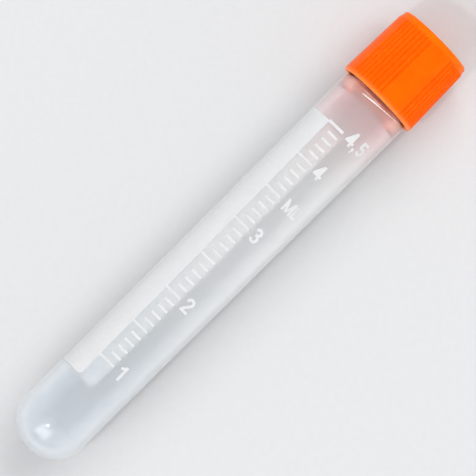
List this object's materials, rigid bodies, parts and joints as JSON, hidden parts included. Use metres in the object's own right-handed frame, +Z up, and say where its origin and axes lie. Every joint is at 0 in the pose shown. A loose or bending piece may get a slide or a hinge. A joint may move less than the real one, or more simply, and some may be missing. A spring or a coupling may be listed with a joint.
{
  "type": "test tube",
  "caption": "Round-bottomed plastic sample tube with a printed volume scale, a writing patch and a ribbed screw cap over an external thread.",
  "frame": {"origin": "on the ground, under the middle of the closed tube as it lies on its side", "axes": "+X along the tube towards the cap, +Z up with the printed scale facing up, +Y towards the side with the writing patch"},
  "size_m": [0.092, 0.0144, 0.0144],
  "materials": {
    "tube": "translucent moulded polypropylene, satin",
    "cap": "orange moulded polypropylene, satin, fine vertical ribs",
    "seal": "white silicone, matt",
    "ink": "white screen-printed ink, matt"
  },
  "bodies": {
    "tube": {"tube_body": "tube", "writing_patch": "ink"},
    "seal": {"seal_ring": "seal"},
    "cap": {"screw_cap": "cap"}
  },
  "joints": [
    {"name": "cap_lift", "type": "slide", "parent": "tube", "child": "seal", "axis": [1, 0, 0], "range_m": [0, 0.014]},
    {"name": "cap_turn", "type": "hinge", "parent": "seal", "child": "cap", "pos_m": [0.04, 0, 0.0072], "axis": [1, 0, 0], "range_deg": [0, 1260.1]}
  ],
  "couplings": [
    {"joint": "cap_turn", "follows": "cap_lift", "rad_per_m": 1570.8}
  ]
}
